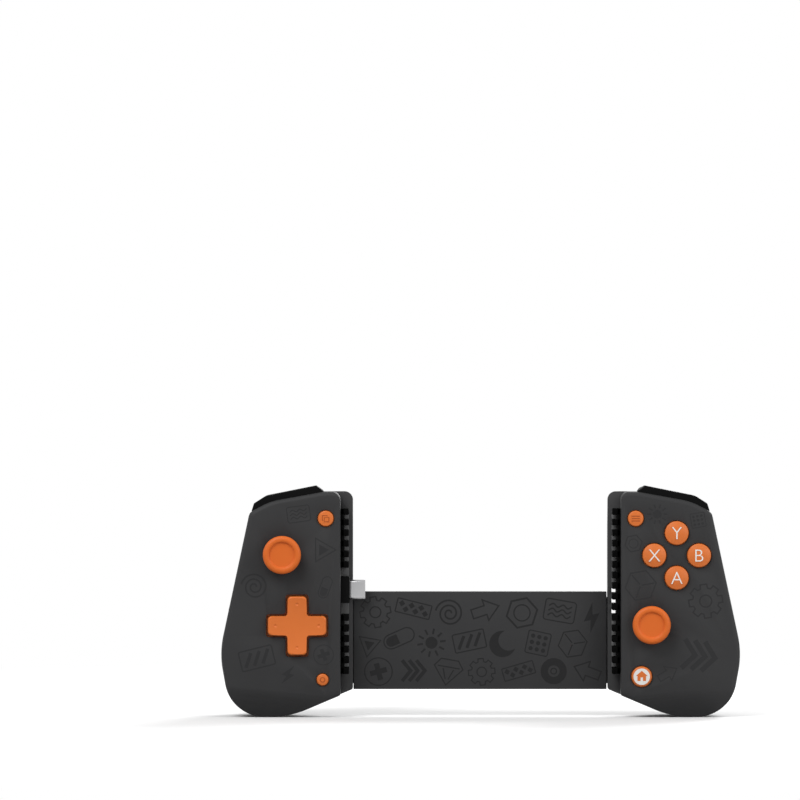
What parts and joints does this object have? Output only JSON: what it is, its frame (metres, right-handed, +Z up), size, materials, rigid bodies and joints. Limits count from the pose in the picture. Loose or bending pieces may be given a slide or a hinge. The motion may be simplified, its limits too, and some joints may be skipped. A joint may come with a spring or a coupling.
{
  "type": "mobile game controller",
  "caption": "Stretch game controller for a phone: two sculpted grips with sticks, buttons, bumpers and triggers, joined by a sprung sliding bridge, with a plug in one seat.",
  "frame": {"origin": "centre of the bridge's front face, on which the phone's back lies, with the bridge closed", "axes": "+X to the player's right, +Y to the rear, +Z up towards the shoulder keys"},
  "size_m": [0.2182, 0.0502, 0.0978],
  "materials": {
    "faceplate": "fine satin, dark grey",
    "grip": "dark grey with a fine diamond knurl on the palm, smooth wing",
    "cover": "satin mid grey",
    "rail": "satin grey",
    "black_plastic": "semi-gloss black",
    "pad_rubber": "matt black",
    "orange": "satin orange",
    "stick_rubber": "matt orange",
    "steel": "bright",
    "board": "solder mask",
    "silicone": "translucent white",
    "frame_plastic": "plain",
    "polyimide": "amber film"
  },
  "bodies": {
    "right_half": {"right_front_shell": "faceplate", "right_rear_shell": "grip", "right_pad": "pad_rubber", "right_board": "board", "right_keypads": "silicone", "right_bumper_switch": "black_plastic", "right_case_screws": "steel", "rail_tray": "rail", "rail_plate": "rail", "rail_screws": "steel", "right_stick_base": "frame_plastic", "right_trigger_pin": "steel", "right_trigger_spring": "steel", "return_spring": "steel", "flex_cable": "polyimide"},
    "left_half": {"left_front_shell": "faceplate", "left_rear_shell": "grip", "left_pads": "pad_rubber", "left_board": "board", "left_keypads": "silicone", "left_bumper_switch": "black_plastic", "left_case_screws": "steel", "usb_plug": "steel", "usb_plug_base": "black_plastic", "bridge_plate": "faceplate", "bridge_cover": "cover", "left_stick_base": "frame_plastic", "dpad_post": "frame_plastic", "left_trigger_pin": "steel", "left_trigger_spring": "steel"},
    "right_stick_gimbal": {"right_stick_gimbal": "steel"},
    "right_stick_pivot": {"right_stick_pivot": "frame_plastic"},
    "right_stick_top": {"right_stick_shaft": "steel", "right_stick_cap": "stick_rubber"},
    "left_stick_gimbal": {"left_stick_gimbal": "steel"},
    "left_stick_pivot": {"left_stick_pivot": "frame_plastic"},
    "left_stick_top": {"left_stick_shaft": "steel", "left_stick_cap": "stick_rubber"},
    "dpad_pivot": {"dpad_pivot": "steel"},
    "dpad": {"dpad": "orange"},
    "a_button": {"a_button": "orange"},
    "b_button": {"b_button": "orange"},
    "x_button": {"x_button": "orange"},
    "y_button": {"y_button": "orange"},
    "menu_button": {"menu_button": "orange"},
    "home_button": {"home_button": "orange"},
    "view_button": {"view_button": "orange"},
    "mode_button": {"mode_button": "orange"},
    "right_bumper": {"right_bumper": "black_plastic"},
    "right_trigger": {"right_trigger": "black_plastic"},
    "left_bumper": {"left_bumper": "black_plastic"},
    "left_trigger": {"left_trigger": "black_plastic"}
  },
  "joints": [
    {"name": "bridge_slide", "type": "slide", "parent": "right_half", "child": "left_half", "axis": [-1, 0, 0], "range_m": [0, 0.092], "stiffness_N_per_m": 30, "springref_m": -0.06, "deforming": ["return_spring", "flex_cable"]},
    {"name": "right_stick_up_down", "type": "hinge", "parent": "right_half", "child": "right_stick_gimbal", "pos_m": [0.0716, -0.006, 0.0071], "axis": [1, 0, 0], "range_deg": [-14, 14], "stiffness_Nm_per_rad": 0.04},
    {"name": "right_stick_left_right", "type": "hinge", "parent": "right_stick_gimbal", "child": "right_stick_pivot", "pos_m": [0.0716, -0.006, 0.0071], "axis": [0, 0, 1], "range_deg": [-14, 14], "stiffness_Nm_per_rad": 0.04},
    {"name": "right_stick_click", "type": "slide", "parent": "right_stick_pivot", "child": "right_stick_top", "axis": [0, 1, 0], "range_m": [0, 0.0005], "stiffness_N_per_m": 2000, "springref_m": -0.0005},
    {"name": "left_stick_up_down", "type": "hinge", "parent": "left_half", "child": "left_stick_gimbal", "pos_m": [-0.0834, -0.006, 0.0365], "axis": [1, 0, 0], "range_deg": [-14, 14], "stiffness_Nm_per_rad": 0.04},
    {"name": "left_stick_left_right", "type": "hinge", "parent": "left_stick_gimbal", "child": "left_stick_pivot", "pos_m": [-0.0834, -0.006, 0.0365], "axis": [0, 0, 1], "range_deg": [-14, 14], "stiffness_Nm_per_rad": 0.04},
    {"name": "left_stick_click", "type": "slide", "parent": "left_stick_pivot", "child": "left_stick_top", "axis": [0, 1, 0], "range_m": [0, 0.0005], "stiffness_N_per_m": 2000, "springref_m": -0.0005},
    {"name": "dpad_up_down", "type": "hinge", "parent": "left_half", "child": "dpad_pivot", "pos_m": [-0.0771, -0.0071, 0.0067], "axis": [1, 0, 0], "range_deg": [-5, 5], "stiffness_Nm_per_rad": 0.08},
    {"name": "dpad_left_right", "type": "hinge", "parent": "dpad_pivot", "child": "dpad", "pos_m": [-0.0771, -0.0071, 0.0067], "axis": [0, 0, 1], "range_deg": [-5, 5], "stiffness_Nm_per_rad": 0.08},
    {"name": "a_press", "type": "slide", "parent": "right_half", "child": "a_button", "axis": [0, 1, 0], "range_m": [0, 0.0012], "stiffness_N_per_m": 600, "springref_m": -0.0006},
    {"name": "b_press", "type": "slide", "parent": "right_half", "child": "b_button", "axis": [0, 1, 0], "range_m": [0, 0.0012], "stiffness_N_per_m": 600, "springref_m": -0.0006},
    {"name": "x_press", "type": "slide", "parent": "right_half", "child": "x_button", "axis": [0, 1, 0], "range_m": [0, 0.0012], "stiffness_N_per_m": 600, "springref_m": -0.0006},
    {"name": "y_press", "type": "slide", "parent": "right_half", "child": "y_button", "axis": [0, 1, 0], "range_m": [0, 0.0012], "stiffness_N_per_m": 600, "springref_m": -0.0006},
    {"name": "menu_press", "type": "slide", "parent": "right_half", "child": "menu_button", "axis": [0, 1, 0], "range_m": [0, 0.0007], "stiffness_N_per_m": 900, "springref_m": -0.00035},
    {"name": "home_press", "type": "slide", "parent": "right_half", "child": "home_button", "axis": [0, 1, 0], "range_m": [0, 0.0007], "stiffness_N_per_m": 900, "springref_m": -0.00035},
    {"name": "view_press", "type": "slide", "parent": "left_half", "child": "view_button", "axis": [0, 1, 0], "range_m": [0, 0.0007], "stiffness_N_per_m": 900, "springref_m": -0.00035},
    {"name": "mode_press", "type": "slide", "parent": "left_half", "child": "mode_button", "axis": [0, 1, 0], "range_m": [0, 0.0007], "stiffness_N_per_m": 900, "springref_m": -0.00035},
    {"name": "right_bumper_press", "type": "slide", "parent": "right_half", "child": "right_bumper", "axis": [-0.2689, 0, -0.9632], "range_m": [0, 0.0009], "stiffness_N_per_m": 1500, "springref_m": -0.0005},
    {"name": "right_trigger_pull", "type": "hinge", "parent": "right_half", "child": "right_trigger", "pos_m": [0.08045, 0.005, 0.05388], "axis": [-0.9632, 0, 0.2689], "range_deg": [0, 9], "stiffness_Nm_per_rad": 0.2, "springref_deg": -5.73, "deforming": ["right_trigger_spring"]},
    {"name": "left_bumper_press", "type": "slide", "parent": "left_half", "child": "left_bumper", "axis": [0.2689, 0, -0.9632], "range_m": [0, 0.0009], "stiffness_N_per_m": 1500, "springref_m": -0.0005},
    {"name": "left_trigger_pull", "type": "hinge", "parent": "left_half", "child": "left_trigger", "pos_m": [-0.08045, 0.005, 0.05388], "axis": [-0.9632, 0, -0.2689], "range_deg": [0, 9], "stiffness_Nm_per_rad": 0.2, "springref_deg": -5.73, "deforming": ["left_trigger_spring"]}
  ]
}
